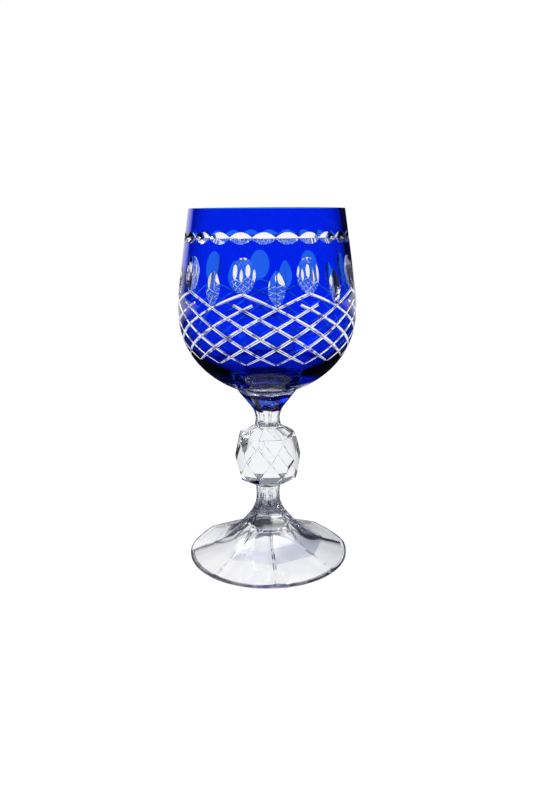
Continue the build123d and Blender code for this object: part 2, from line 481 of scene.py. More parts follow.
def mottle_group() -> Tree:
    """Builds an uneven blend of two colours: spots of painted light and shade, for the way cut and pressed
    glass breaks up what is behind it.

    Returns:
        The group, with sockets Size, From, To, Plain, Spot and Color.
    """
    known = bpy.data.node_groups.get("mottle")
    if known:
        return known
    inputs = {"Size": "Float", "From": "Float", "To": "Float", "Plain": "Color", "Spot": "Color"}
    group = start_group("mottle", inputs, "Color", "Color")
    entry = group.nodes.new("NodeGroupInput")
    coordinates = group.nodes.new("ShaderNodeTexCoord")
    noise = group.nodes.new("ShaderNodeTexNoise")
    noise.inputs["Detail"].default_value = 2.0
    share = group.nodes.new("ShaderNodeMapRange")
    leave = group.nodes.new("NodeGroupOutput")
    link = group.links.new
    link(coordinates.outputs["Object"], noise.inputs["Vector"])
    link(entry.outputs["Size"], noise.inputs["Scale"])
    link(noise.outputs["Fac"], share.inputs["Value"])
    link(entry.outputs["From"], share.inputs["From Min"])
    link(entry.outputs["To"], share.inputs["From Max"])
    blend = blend_colours(group, share.outputs["Result"], entry.outputs["Plain"], entry.outputs["Spot"])
    link(blend, leave.inputs["Color"])
    return group


def soft_box_group() -> Tree:
    """Builds the mask of a soft box at one side of the studio and of the pale ceiling above.

    Returns:
        The group, with sockets Direction, Towards, Outer, Inner, Ceiling From, Ceiling To and Mask.
    """
    known = bpy.data.node_groups.get("soft_box")
    if known:
        return known
    inputs = {"Direction": "Vector", "Towards": "Vector"}
    inputs |= dict.fromkeys(("Outer", "Inner", "Ceiling From", "Ceiling To"), "Float")
    group = start_group("soft_box", inputs, "Mask", "Float")
    nodes = group.nodes
    entry = nodes.new("NodeGroupInput")
    unit = nodes.new("ShaderNodeVectorMath")
    unit.operation = "NORMALIZE"
    facing = nodes.new("ShaderNodeVectorMath")
    facing.operation = "DOT_PRODUCT"
    box = nodes.new("ShaderNodeMapRange")
    split = nodes.new("ShaderNodeSeparateXYZ")
    ceiling = nodes.new("ShaderNodeMapRange")
    both = nodes.new("ShaderNodeMath")
    both.operation = "MAXIMUM"
    leave = nodes.new("NodeGroupOutput")
    link = group.links.new
    link(entry.outputs["Direction"], unit.inputs[0])
    link(unit.outputs["Vector"], facing.inputs[0])
    link(entry.outputs["Towards"], facing.inputs[1])
    link(facing.outputs["Value"], box.inputs["Value"])
    link(entry.outputs["Outer"], box.inputs["From Min"])
    link(entry.outputs["Inner"], box.inputs["From Max"])
    link(unit.outputs["Vector"], split.inputs["Vector"])
    link(split.outputs["Z"], ceiling.inputs["Value"])
    link(entry.outputs["Ceiling From"], ceiling.inputs["From Min"])
    link(entry.outputs["Ceiling To"], ceiling.inputs["From Max"])
    link(box.outputs["Result"], both.inputs[0])
    link(ceiling.outputs["Result"], both.inputs[1])
    link(both.outputs["Value"], leave.inputs["Mask"])
    return group


# Finishes


@dataclass(frozen=True)
class Ripple:
    """Slow waves on a surface: how many to the metre, and how high in metres."""

    size: float
    height: float

    def normal(self, tree: Tree) -> Socket:
        """Puts the waves into a material and gives the socket with their normal."""
        return use_group(tree, ripple_group(), {"Size": self.size, "Height": self.height}).outputs["Normal"]


@dataclass(frozen=True)
class Mottle:
    """A second colour in uneven spots of painted light and shade: how many to the metre, and where they set
    in.
    """

    spot: Colour
    size: float = 300.0
    reach: Point = (0.4, 0.6)

    def colour(self, tree: Tree, plain: Colour) -> Socket:
        """Puts the spots over a plain colour.

        Args:
            tree: The material's nodes.
            plain: The colour between the spots.

        Returns:
            The socket with the colour.
        """
        low, high = self.reach
        values = {"Size": self.size, "From": low, "To": high, "Plain": plain, "Spot": self.spot}
        return use_group(tree, mottle_group(), values).outputs["Color"]


@dataclass(frozen=True)
class Deepening:
    """Deeper tints of an overlay: low down, between two heights in metres, and where it is seen aslant,
    which is partly the longer path through the blue and mostly painted shade for the overlay's dark sides.
    """

    low: Colour
    low_reach: Point
    slant: Colour
    slant_reach: Point

    def colour(self, tree: Tree, plain: Colour) -> Socket:
        """Puts the deeper tints over a plain one.

        Args:
            tree: The material's nodes.
            plain: The tint high up, seen straight on.

        Returns:
            The socket with the tint.
        """
        coordinates = tree.nodes.new("ShaderNodeTexCoord")
        split = tree.nodes.new("ShaderNodeSeparateXYZ")
        tree.links.new(coordinates.outputs["Object"], split.inputs["Vector"])
        height = share_between(tree, split.outputs["Z"], self.low_reach)
        upright = blend_colours(tree, height, self.low, plain)
        # The aslant tint is mostly painted shade for the overlay's dark sides.
        facing = tree.nodes.new("ShaderNodeLayerWeight").outputs["Facing"]
        return blend_colours(tree, share_between(tree, facing, self.slant_reach), upright, self.slant)


@dataclass(frozen=True)
class Glass:
    """Clear or tinted glass that bends light and lets the lamps through."""

    name: str
    tint: Colour
    uneven: Mottle | Deepening | None = None
    ripple: Ripple | None = None
    roughness: float = 0.0
    ior: float = 1.52
    clearness: float = 1.0
    shine: float = 0.5

    def material(self) -> bpy.types.Material:
        """Builds the material, once.

        Returns:
            The material of this finish.
        """
        known = bpy.data.materials.get(self.name)
        if known:
            return known
        material = start_material(self.name)
        tree = material.node_tree
        link = tree.links.new
        body = tree.nodes.new("ShaderNodeBsdfPrincipled")
        body.inputs["Base Color"].default_value = (*self.tint, 1)
        body.inputs["Roughness"].default_value = self.roughness
        body.inputs["IOR"].default_value = self.ior
        body.inputs["Transmission Weight"].default_value = self.clearness
        body.inputs["Specular IOR Level"].default_value = self.shine
        if self.ripple:
            link(self.ripple.normal(tree), body.inputs["Normal"])
        if self.uneven:
            link(self.uneven.colour(tree, self.tint), body.inputs["Base Color"])
        clear = tree.nodes.new("ShaderNodeBsdfTransparent")
        clear.inputs["Color"].default_value = (*self.tint, 1)
        path = tree.nodes.new("ShaderNodeLightPath")
        mix = tree.nodes.new("ShaderNodeMixShader")
        output = tree.nodes.new("ShaderNodeOutputMaterial")
        link(path.outputs["Is Shadow Ray"], mix.inputs["Fac"])
        link(body.outputs["BSDF"], mix.inputs[1])
        link(clear.outputs["BSDF"], mix.inputs[2])
        link(mix.outputs["Shader"], output.inputs["Surface"])
        return material


@dataclass(frozen=True)
class FusedSeam:
    """The place where two layers of glass are fused, where nothing bends light."""

    name: str
    tint: Colour = WHITE

    def material(self) -> bpy.types.Material:
        """Builds the material, once.

        Returns:
            The material of this seam.
        """
        known = bpy.data.materials.get(self.name)
        if known:
            return known
        material = start_material(self.name)
        nodes = material.node_tree.nodes
        clear = nodes.new("ShaderNodeBsdfTransparent")
        clear.inputs["Color"].default_value = (*self.tint, 1)
        output = nodes.new("ShaderNodeOutputMaterial")
        material.node_tree.links.new(clear.outputs["BSDF"], output.inputs["Surface"])
        return material


COBALT = Glass(
    "cobalt_overlay",
    (0.0003, 0.0185, 0.92),
    Deepening(
        low=(0.0001, 0.0004, 0.12),
        low_reach=(0.09, 0.108),
        # Seen aslant, the overlay darkens: mostly painted shade for its dark sides.
        slant=(0.0001, 0.001, 0.3),
        slant_reach=(0.35, 0.85),
    ),
    shine=0.15,
)
BLOWN = Glass("blown_lining", (0.97, 0.98, 1.0), ripple=Ripple(60.0, 0.00001))
FILM = Glass("blue_in_floor", (0.0005, 0.006, 0.3))
# Deep blue under the middle of the floor: partly the bowl's blue seen thick, partly painted shade for the
# collar's dark top and the bowl's dark bottom.
NAVY_AND_SHADE = FusedSeam("blue_and_painted_shade_under_floor", (0.002, 0.004, 0.14))
GROUND = Glass("ground_cut", WHITE, ripple=Ripple(700.0, 0.000004))
SATIN = Glass(
    "satin_mitre",
    WHITE,
    # Dark lavender spots of painted shade on the white cut.
    Mottle((0.2, 0.22, 0.38), 380.0, (0.52, 0.64)),
    roughness=0.25,
    clearness=0.12,
)
# Near-black glass at the root of each cut is painted shade, broken by lighter spots.
PAINTED_ROOT_SHADE = Glass("painted_shade_root_of_cut", (0.002, 0.002, 0.006), Mottle((0.3, 0.3, 0.4), 500.0, (0.5, 0.6)))
PRESSED = Glass("pressed_stem", (0.98, 0.985, 1.0), ripple=Ripple(120.0, 0.00001))
# Near-black glass along the collar's ridges, the ball's edges and the foot's rim is painted shade, broken by
# lighter spots.
RIDGE = Glass("painted_shade_ridge", (0.01, 0.01, 0.02), Mottle((0.7, 0.7, 0.75), 350.0))
FOOT = Glass(
    "pressed_foot",
    (0.97, 0.97, 0.985),
    # Grey spots of painted shade, for the foot's shadow on the table and its thick glass.
    Mottle((0.8, 0.81, 0.86), 45.0, (0.42, 0.62)),
    Ripple(120.0, 0.00002),
)
# Dark bands beside the foot's ridges are painted shade, broken by lighter spots.
FOOT_RIDGE_SHADE = Glass("painted_shade_foot_ridge", (0.13, 0.13, 0.16), Mottle((0.85, 0.85, 0.88), 300.0, (0.36, 0.52)))
SEAM = FusedSeam("fused_seam")

# The finishes that both pieces of the bowl share, in the order of BowlFinish

BOWL_CUTS = (GROUND, SATIN, SEAM, PAINTED_ROOT_SHADE)


def dress(piece: Piece, finishes: Sequence[Glass | FusedSeam]) -> None:
    """Puts finishes into a piece's material slots, in order."""
    piece.data.materials.clear()
    for finish in finishes:
        piece.data.materials.append(finish.material())


# The goblet


@dataclass
class BowlForm:
    """The turned shape of the bowl. Each surface of it lies inset inside the outside at the belly."""

    height: float = 165.0
    belly_radius: float = 40.5
    belly_height: float = 119.6
    bottom: float = 81.6
    shoulder_radius: float = 88.0
    side_lean: float = 8.8
    hip_turn: float = 45.0
    wall: float = 2.3
    floor_thickness: float = 5.0
    casing_thickness: float = 0.5
    casing_hem_turn: float = 36.6
    spacing: float = 1.1
    seam_bottom: float = field(init=False)
    floor_height: float = field(init=False)
    outer_sole: float = field(init=False)
    sole_centre: float = field(init=False)

    def __post_init__(self) -> None:
        """Works out where the seam, the floor and the sphere under the bowl are."""
        self.seam_bottom = self.bottom + self.casing_thickness
        self.floor_height = self.bottom + self.floor_thickness
        self.outer_sole = self.sole_radius(0, self.bottom)
        self.sole_centre = self.bottom + self.outer_sole

    def hip_radius(self, inset: float, bottom: float) -> float:
        """The radius of the arc below the belly, for the surface with this inset and lowest height."""
        turn = radians(self.hip_turn)
        slope = tan((pi / 2 - turn) / 2)
        drop = (self.belly_radius - inset) * slope
        return (self.belly_height - drop - bottom) / (sin(turn) - (1 - cos(turn)) * slope)

    def sole_radius(self, inset: float, bottom: float) -> float:
        """The radius of the sphere under the bowl, for the surface with this inset and lowest height."""
        turn = radians(self.hip_turn)
        return (self.belly_radius - inset - self.hip_radius(inset, bottom) * (1 - cos(turn))) / cos(turn)

    def surface(self, inset: float, bottom: float, end_turn: float = 0.0) -> list[Point]:
        """Half of one bowl surface, from the rim down towards the axis.

        Args:
            inset: How far the surface lies inside the outside at the belly.
            bottom: Its lowest height.
            end_turn: How far from the axis it ends, as an angle at the centre of the sole.

        Returns:
            Its points.
        """
        lean = radians(self.side_lean)
        turn = radians(self.hip_turn)
        belly = self.belly_radius - inset
        shoulder = self.shoulder_radius - inset
        neck = (belly - shoulder * (1 - cos(lean)), self.belly_height + shoulder * sin(lean))
        rim = (neck[0] - (self.height - neck[1]) * tan(lean), self.height)
        steps = ceil((rim[1] - neck[1]) / self.spacing)
        shares = [step / steps for step in range(steps)]
        side = [(rim[0] + (neck[0] - rim[0]) * s, rim[1] + (neck[1] - rim[1]) * s) for s in shares]
        upper = sample_arc((belly - shoulder, self.belly_height), shoulder, lean, 0, self.spacing)
        hip = self.hip_radius(inset, bottom)
        middle = sample_arc((belly - hip, self.belly_height), hip, 0, -turn, self.spacing)
        sole = self.sole_radius(inset, bottom)
        lower = sample_arc((0, bottom + sole), sole, -turn, radians(end_turn) - pi / 2, self.spacing)
        last = lower[-1] if end_turn else (0, bottom)
        return side + upper[:-1] + middle[:-1] + lower[:-1] + [last]

    def sole(self) -> list[Point]:
        """The clear sphere under the bowl, from the axis out to the overlay's hem."""
        end = radians(self.casing_hem_turn) - pi / 2
        arc = sample_arc((0, self.sole_centre), self.outer_sole, -pi / 2, end, self.spacing)
        return [(0, self.bottom), *arc[1:]]

    def gap(self, out: float, z: float, inset: float, bottom: float) -> float:
        """How far a point lies off one bowl surface.

        Args:
            out: The point's distance from the axis.
            z: Its height.
            inset: The surface's inset.
            bottom: The surface's lowest height.

        Returns:
            The distance, below 0 inside the surface.
        """
        lean = radians(self.side_lean)
        belly = self.belly_radius - inset
        shoulder = self.shoulder_radius - inset
        hip = self.hip_radius(inset, bottom)
        sole = self.sole_radius(inset, bottom)
        rise = z - self.belly_height
        if rise > shoulder * sin(lean):
            side = belly - shoulder * (1 - cos(lean)) - (rise - shoulder * sin(lean)) * tan(lean)
            return (out - side) * cos(lean)
        if rise > 0:
            return sqrt((out - belly + shoulder) ** 2 + rise**2) - shoulder
        if rise > -hip * sin(radians(self.hip_turn)):
            return sqrt((out - belly + hip) ** 2 + rise**2) - hip
        return sqrt(out**2 + (z - bottom - sole) ** 2) - sole

    def lean(self, z: float) -> float:
        """The angle of the outside from upright at a height, in radians."""
        rise = z - self.belly_height
        if rise < 0:
            return asin(rise / self.hip_radius(0, self.bottom))
        return min(radians(self.side_lean), asin(min(1, rise / self.shoulder_radius)))

    def radius(self, z: float) -> float:
        """The outside radius at a height, from the hip to the rim."""
        rise = z - self.belly_height
        lean = radians(self.side_lean)
        straight = rise - self.shoulder_radius * sin(lean)
        if rise < 0:
            return self.belly_radius - rise_of_arc(rise, self.hip_radius(0, self.bottom))
        if straight < 0:
            return self.belly_radius - rise_of_arc(rise, self.shoulder_radius)
        return self.belly_radius - self.shoulder_radius * (1 - cos(lean)) - straight * tan(lean)

    def point(self, azimuth: float, z: float, depth: float) -> Vector:
        """A point at a depth under the outside, at an azimuth from the front."""
        turn = radians(azimuth) - pi / 2
        out = self.radius(z) - depth / cos(self.lean(z))
        return Vector((out * cos(turn), out * sin(turn), z))


@dataclass
class CollarForm:
    """The eight-sided flare between the ball and the bowl, measured from the axis to its flats."""

    neck_height: float = 68.9
    sweep_radius: float = 10.2
    flare: float = 36.4
    seat_rise: float = 5.0
    spacing: float = 0.5

    def sweep(self) -> list[Point]:
        """The arc from the neck into the flare."""
        centre = (NECK_FLAT + self.sweep_radius, self.neck_height)
        return sample_arc(centre, self.sweep_radius, pi, pi - radians(self.flare), self.spacing)

    def flat_at(self, z: float) -> float:
        """How far out the flare's flats stand at a height above the sweep."""
        turn = radians(self.flare)
        start = NECK_FLAT + self.sweep_radius * (1 - cos(turn))
        return start + (z - self.neck_height - self.sweep_radius * sin(turn)) * tan(turn)


@dataclass
class Cuts:
    """The wheels that cut the bowl: where each cut lies, how large it is and how deep it goes."""

    form: BowlForm
    overrun: float = 2.0
    repeats: int = 9
    band_count: int = 24
    band_height: float = 153.0
    band_rise: float = 4.6
    band_wheel_radius: float = 12.0
    band_overlap: float = 0.3
    olive_height: float = 138.3
    olive_length: float = 14.7
    olive_width: float = 10.2
    olive_depth: float = 1.1
    olive_spacing: float = 0.35
    olive_steps: int = 200
    leaf_height: float = 132.8
    leaf_length: float = 16.2
    leaf_width: float = 6.9
    leaf_depth: float = 1.2
    mitre_half_angle: float = 40.0
    lattice_top: float = 130.6
    lattice_crossing: float = 124.6
    lattice_bottom: float = 101.4
    long_middle: float = 117.2
    short_middle: float = 112.8
    long_sweep: float = 79.6
    short_sweep: float = 59.4
    short_lead: float = 6.0
    mitre_depth: float = 0.6
    mitre_start_depth: float = 0.48
    mitre_end_depth: float = 0.2
    mitre_steps: int = 72
    wheel_edge: float = 0.12
    wheel_steps: int = 160

    def set_wheel(self, wheel: Piece, z: float, axle_upright: bool, hub_rise: float) -> Piece:
        """Sets a wheel that lies in the XY plane against the bowl at azimuth 0.

        Args:
            wheel: The wheel.
            z: The height of the cut.
            axle_upright: Whether the axle stands up, so that the cut runs round the bowl.
            hub_rise: How far the wheel's middle stands outside the glass.

        Returns:
            The wheel.
        """
        lean = self.form.lean(z)
        out = Vector((cos(lean), 0, sin(lean)))
        up = Vector((-sin(lean), 0, cos(lean)))
        across = Vector((0, 1, 0))
        hub = Vector((self.form.radius(z), 0, z)) + out * hub_rise
        axle = up if axle_upright else across
        place(wheel, out, axle.cross(out), axle, hub)
        return wheel

    @staticmethod
    def cutter_finish(face: Face) -> CutterFinish:
        """The edge finish, which paints the shade of the root line, for the fine edge of a cutter in the XY
        plane, and the wall finish elsewhere.
        """
        on_edge = abs(face.center.z) < WELD and face.normal.xy.length > SIDEWAYS
        return CutterFinish.EDGE if on_edge else CutterFinish.WALL

    def mitre_wheel(
        self, z: float, axle_upright: bool, radius: float, depth: float, half_width: float
    ) -> Piece:
        """A wheel with a V edge, whose narrow flat leaves a line of painted shade at the root of the cut.

        Args:
            z: The height of the cut.
            axle_upright: Whether the axle stands up.
            radius: The wheel's radius.
            depth: How deep it is sunk.
            half_width: Half the width of the cut at the surface.

        Returns:
            The wheel, in its place.
        """
        reach = half_width * radius / depth
        edge = self.wheel_edge
        profile = [(0, -reach), (radius, -edge), (radius, edge), (0, reach)]
        wheel = turn_on_lathe("mitre_wheel", profile, self.wheel_steps)
        dress(wheel, [GROUND, PAINTED_ROOT_SHADE])
        finish_faces(wheel, self.cutter_finish)
        return self.set_wheel(wheel, z, axle_upright, radius - depth)

    def olive_wheel(self) -> Piece:
        """The wheel with a round edge that grinds the olives.

        Returns:
            The wheel, in its place.
        """
        drop = rise_of_arc(self.olive_width / 2, self.form.radius(self.olive_height))
        edge = radius_of_arc(self.olive_width / 2, self.olive_depth - drop)
        radius = radius_of_arc(self.olive_length / 2, self.olive_depth)
        half = asin(min(1, (self.olive_width / 2 + self.overrun) / edge))
        arc = sample_arc((radius - edge, 0), edge, -half, half, self.olive_spacing)
        wheel = turn_on_lathe("olive_wheel", [(0, arc[0][1]), *arc, (0, arc[-1][1])], self.olive_steps)
        dress(wheel, [GROUND, PAINTED_ROOT_SHADE])
        return self.set_wheel(wheel, self.olive_height, False, radius - self.olive_depth)

    def lens_wheel(self) -> Piece:
        """The wheel that cuts the lens band, deep enough for each lens to meet the next."""
        band_radius = self.form.radius(self.band_height)
        half_length = band_radius * sin(radians(360 / self.band_count / 2)) + self.band_overlap
        depth = rise_of_arc(half_length, band_radius) + rise_of_arc(half_length, self.band_wheel_radius)
        return self.mitre_wheel(self.band_height, True, self.band_wheel_radius, depth, self.band_rise / 2)

    def leaf_wheel(self) -> Piece:
        """The wheel that cuts the leaves."""
        drop = rise_of_arc(self.leaf_width / 2, self.form.radius(self.leaf_height))
        half_width = self.leaf_width / 2 * self.leaf_depth / (self.leaf_depth - drop)
        radius = radius_of_arc(self.leaf_length / 2, self.leaf_depth)
        return self.mitre_wheel(self.leaf_height, False, radius, self.leaf_depth, half_width)

    def mitre_ring(self, start: Vector, middle: Vector, end: Vector) -> Piece:
        """A ring with a V edge turned inwards, whose tip runs along the arc through three points.

        Args:
            start: Where the groove starts.
            middle: A point that it passes.
            end: Where it ends.

        Returns:
            The ring.
        """
        first = middle - start
        second = end - start
        axis = first.cross(second)
        centre = start + (
            axis.cross(first) * second.length_squared + second.cross(axis) * first.length_squared
        ) / (2 * axis.length_squared)
        axis.normalize()
        out = (start - centre).normalized()
        ahead = axis.cross(out)
        radius = (start - centre).length
        turn = atan2((end - centre).dot(ahead), (end - centre).dot(out))
        reach = self.overrun * tan(radians(self.mitre_half_angle))
        tip = self.wheel_edge
        far = radius + self.overrun
        edge = [(radius, -tip), (radius, tip), (far, reach + tip), (far, -reach - tip), (radius, -tip)]
        ring = draw_wire("mitre_ring", edge)
        bpy.ops.mesh.remove_doubles(threshold=WELD)
        bpy.ops.mesh.select_all(action="SELECT")
        bpy.ops.mesh.edge_face_add()
        bpy.ops.mesh.spin(steps=self.mitre_steps, angle=-turn, center=(0, 0, 0), axis=(0, 0, 1))
        weld_and_close(ring)
        dress(ring, [SATIN, PAINTED_ROOT_SHADE])
        # The ring's tip carries the painted shade of the root line.
        finish_faces(ring, self.cutter_finish)
        place(ring, out, ahead, axis, centre)
        return ring

    def groove(self, lead: float, start_height: float, middle_height: float, sweep: float) -> Piece:
        """The cutter of one groove of the lattice, which sets in near the middle of an olive.

        Args:
            lead: How far before the olive's middle the groove starts.
            start_height: The height that it starts at.
            middle_height: The height that it passes half way.
            sweep: How far round the bowl it runs from the olive's middle.

        Returns:
            The cutter.
        """
        olive = 360 / self.repeats / 2
        return self.mitre_ring(
            self.form.point(olive - lead, start_height, self.mitre_start_depth),
            self.form.point(olive + sweep / 2, middle_height, self.mitre_depth),
            self.form.point(olive + sweep, self.lattice_bottom, self.mitre_end_depth),
        )

    def cutters(self) -> list[Piece]:
        """Makes all cutters, in groups whose members don't cross.

        Returns:
            The groups.
        """
        pitch = 360 / self.repeats
        lens_pitch = 360 / self.band_count
        lenses = [FRONT + lens_pitch * (count + 0.5) for count in range(self.band_count)]
        leaves = [FRONT + pitch * count for count in range(self.repeats)]
        olives = [azimuth + pitch / 2 for azimuth in leaves]
        turns = [pitch * count for count in range(self.repeats)]
        lead_rise = (self.lattice_top - self.lattice_crossing) * self.short_lead / pitch * 2
        short_start = self.lattice_crossing + lead_rise
        lens = self.lens_wheel()
        leaf = self.leaf_wheel()
        olive = self.olive_wheel()
        long_groove = self.groove(0, self.lattice_top, self.long_middle, self.long_sweep)
        short_groove = self.groove(self.short_lead, short_start, self.short_middle, self.short_sweep)
        groups = [
            copy_round(lens, lenses[::2]),
            copy_round(lens, lenses[1::2]),
            copy_round(olive, olives),
            copy_round(leaf, leaves),
        ]
        for mirrored in (False, True):
            groups.append(copy_round(long_groove, turns, mirrored))
            groups.append(copy_round(short_groove, turns, mirrored))
        discard(lens, leaf, olive, long_groove, short_groove)
        return groups


@dataclass
class Bowl:
    """The cased bowl: a clear lining inside a cobalt overlay, cut with four kinds of wheel."""

    form: BowlForm = field(default_factory=BowlForm)
    collar: CollarForm = field(default_factory=CollarForm)
    steps: int = 240
    surface_gap: float = 0.02
    hem_gap: float = 0.001
    score_reach: float = 2.5
    film_radius: float = 24.3
    navy_shade_radius: float = 11.0
    smooth_angle: float = 8.0

    def on_surface(self, face: Face, inset: float, bottom: float) -> bool:
        """Whether a face lies on the bowl surface with this inset and lowest height, and not in a cut."""
        out = sqrt(face.center.x**2 + face.center.y**2) / MM
        return abs(self.form.gap(out, face.center.z / MM, inset, bottom)) < self.surface_gap

    def on_seam(self, face: Face) -> bool:
        """Whether a face lies where lining and overlay meet, or in the step where the overlay ends."""
        to_face = face.center - Vector((0, 0, self.form.sole_centre * MM))
        off_hem = atan2(to_face.xy.length, -to_face.z) - radians(self.form.casing_hem_turn)
        on_hem = to_face.z < 0 and abs(off_hem) < self.hem_gap
        return on_hem or self.on_surface(face, self.form.casing_thickness, self.form.seam_bottom)

    def under_collar(self, face: Face) -> bool:
        """Whether a face of the bowl's bottom lies on the collar's eight-sided seat."""
        side = 2 * pi / SIDES
        off_flat = (atan2(face.center.y, face.center.x) % side) - side / 2
        reach = sqrt(face.center.x**2 + face.center.y**2) * cos(off_flat) / MM
        return reach < self.collar.flat_at(face.center.z / MM)

    def score_collar_seat(self, piece: Piece) -> None:
        """Splits the bottom's faces along the eight flares of the collar, so that its seat has a crisp edge.

        Args:
            piece: The lining, before it is cut.
        """
        form = self.form
        seat_rise = self.collar.seat_rise
        flare = radians(self.collar.flare)
        seat_height = form.bottom + seat_rise / 2
        pick_only(piece)
        for side in range(SIDES):
            turn = 2 * pi * (side + 0.5) / SIDES
            out = Vector((cos(turn), sin(turn), 0))
            normal = out * cos(flare) - Vector((0, 0, sin(flare)))
            at = (out * self.collar.flat_at(seat_height) + Vector((0, 0, seat_height))) * MM
            bpy.ops.object.mode_set(mode="OBJECT")
            for face in piece.data.polygons:
                low = face.center.z < (form.bottom + seat_rise) * MM and face.normal.z < 0
                face.select = low and abs((face.center - at).dot(normal)) < self.score_reach * MM
            bpy.ops.object.mode_set(mode="EDIT")
            bpy.ops.mesh.bisect(plane_co=at, plane_no=normal, threshold=WELD)
        bpy.ops.object.mode_set(mode="OBJECT")

    def casing_finish(self, face: Face) -> int:
        """Cobalt outside, clear in the cuts and at the rim, and fused where it meets the lining.

        Args:
            face: A face of the overlay.

        Returns:
            Its finish.
        """
        if face.center.z > self.form.height * MM - WELD:
            return BowlFinish.POLISHED
        return BowlFinish.FUSED if self.on_seam(face) else face.material_index

    def lining_finish(self, face: Face) -> int:
        """Clear inside and in the cuts, blue on the floor, deep blue and partly painted shade where the
        collar's middle meets it, and fused where it meets overlay and collar.

        Args:
            face: A face of the lining.

        Returns:
            Its finish.
        """
        form = self.form
        hem_height = (form.bottom + form.outer_sole * (1 - cos(radians(form.casing_hem_turn)))) * MM
        below = face.center.z < hem_height and face.normal.z < 0
        out = face.center.xy.length / MM
        if below and self.under_collar(face):
            # Under the collar's middle, a deep blue disc that is partly painted shade.
            return BowlFinish.NAVY_AND_SHADE if out < self.navy_shade_radius else BowlFinish.FUSED
        if face.center.z < form.height * MM - WELD and self.on_seam(face):
            return BowlFinish.FUSED
        if out < self.film_radius and self.on_surface(face, form.wall, form.floor_height):
            return BowlFinish.FILM
        return face.material_index

    def build(self) -> list[Piece]:
        """Makes the lining and the overlay.

        Returns:
            Both pieces.
        """
        form = self.form
        outer = form.surface(0, form.bottom, form.casing_hem_turn)
        seam = form.surface(form.casing_thickness, form.seam_bottom, form.casing_hem_turn)
        inner = form.surface(form.wall, form.floor_height)
        casing = turn_on_lathe("bowl_casing_glass", [*outer[::-1], *seam, outer[-1]], self.steps)
        lining = turn_on_lathe("bowl_lining_glass", [*form.sole(), *seam[::-1], *inner], self.steps)
        self.score_collar_seat(lining)
        dress(casing, [COBALT, *BOWL_CUTS])
        dress(lining, [BLOWN, *BOWL_CUTS, FILM, NAVY_AND_SHADE])
        groups = Cuts(form).cutters()
        for group in groups:
            combine(casing, group, Join.CUT)
            combine(lining, group, Join.CUT)
        discard(*groups)
        finish_faces(casing, self.casing_finish)
        finish_faces(lining, self.lining_finish)
        for piece, node, slot in ((casing, "bowl_casing", Slot.COBALT), (lining, "bowl_lining", Slot.BOWL)):
            smooth(piece, self.smooth_angle)
            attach(piece, ROOT)
            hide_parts(node)
        return [casing, lining]


@dataclass
class Stem:
    """The clear eight-sided collar under the bowl, and the faceted ball."""

    form: BowlForm = field(default_factory=BowlForm)
    shape: CollarForm = field(default_factory=CollarForm)
    ridge_bevel: float = 0.25
    ridge_segments: int = 3
    seat_spacing: float = 0.6
    seat_steps: int = 240
    seat_gap: float = 0.03
    collar_smooth_angle: float = 6.0
    flat_angle: float = 1.0
    knop_bevel: float = 0.12
    knop_segments: int = 2
    facet_area: float = 3.0
    knop_smooth_angle: float = 12.0

    def collar_finish(self, face: Face) -> StemFinish:
        """Fused at the seat and at the joint, painted shade along the ridges and clear elsewhere.

        Args:
            face: A face of the collar.

        Returns:
            Its finish.
        """
        seat_centre = Vector((0, 0, self.form.sole_centre * MM))
        off_seat = (face.center - seat_centre).length - self.form.outer_sole * MM
        if abs(off_seat) < self.seat_gap * MM or face.center.z < HIGH_JOINT * MM + WELD:
            return StemFinish.FUSED
        return StemFinish.EDGE if near_ridge(face, 0, self.ridge_bevel) else StemFinish.BODY

    def collar(self) -> Piece:
        """Makes the collar with the upper neck.

        Returns:
            The piece.
        """
        shape = self.shape
        top = self.form.bottom + shape.seat_rise
        flats = [(0, HIGH_JOINT), (JOINT_FLAT, HIGH_JOINT), *shape.sweep()]
        flats += [(shape.flat_at(top), top), (0, top)]
        corner = 1 / cos(pi / SIDES)
        collar = turn_on_lathe("stem_collar_glass", [(flat * corner, z) for flat, z in flats], SIDES)
        bevel_ridges(collar, self.ridge_bevel, self.ridge_segments)
        centre = (0, self.form.sole_centre)
        arc = sample_arc(centre, self.form.outer_sole, -pi / 2, pi / 2, self.seat_spacing)
        ball = turn_on_lathe("seat", arc, self.seat_steps)
        combine(collar, ball, Join.CUT)
        discard(ball)
        dress(collar, [PRESSED, SEAM, RIDGE])
        finish_faces(collar, self.collar_finish)
        smooth(collar, self.collar_smooth_angle)
        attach(collar, ROOT)
        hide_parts("stem_collar")
        return collar

    def knop_finish(self, face: Face) -> StemFinish:
        """Fused at both joints, painted shade along the edges and clear on the facets."""
        if face.center.z > HIGH_JOINT * MM - WELD or face.center.z < LOW_JOINT * MM + WELD:
            return StemFinish.FUSED
        return StemFinish.EDGE if face.area < self.facet_area * MM**2 else StemFinish.BODY

    def knop(self) -> Piece:
        """Makes the ball from a copy of its solid, with its edges eased.

        Returns:
            The piece.
        """
        pick_only(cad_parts["stem_knop"])
        bpy.ops.object.duplicate(linked=False)
        knop = bpy.context.object
        knop.name = "stem_knop_glass"
        bpy.ops.object.mode_set(mode="EDIT")
        bpy.ops.mesh.select_all(action="SELECT")
        bpy.ops.mesh.remove_doubles(threshold=WELD)
        bpy.ops.mesh.dissolve_limited(angle_limit=radians(self.flat_angle))
        bpy.ops.mesh.bevel(offset=self.knop_bevel * MM, segments=self.knop_segments, affect="EDGES")
        weld_and_close(knop)
        dress(knop, [PRESSED, SEAM, RIDGE])
        finish_faces(knop, self.knop_finish)
        smooth(knop, self.knop_smooth_angle)
        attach(knop, ROOT)
        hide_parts("stem_knop")
        return knop

    def build(self) -> list[Piece]:
        """Makes the collar and the ball."""
        return [self.collar(), self.knop()]


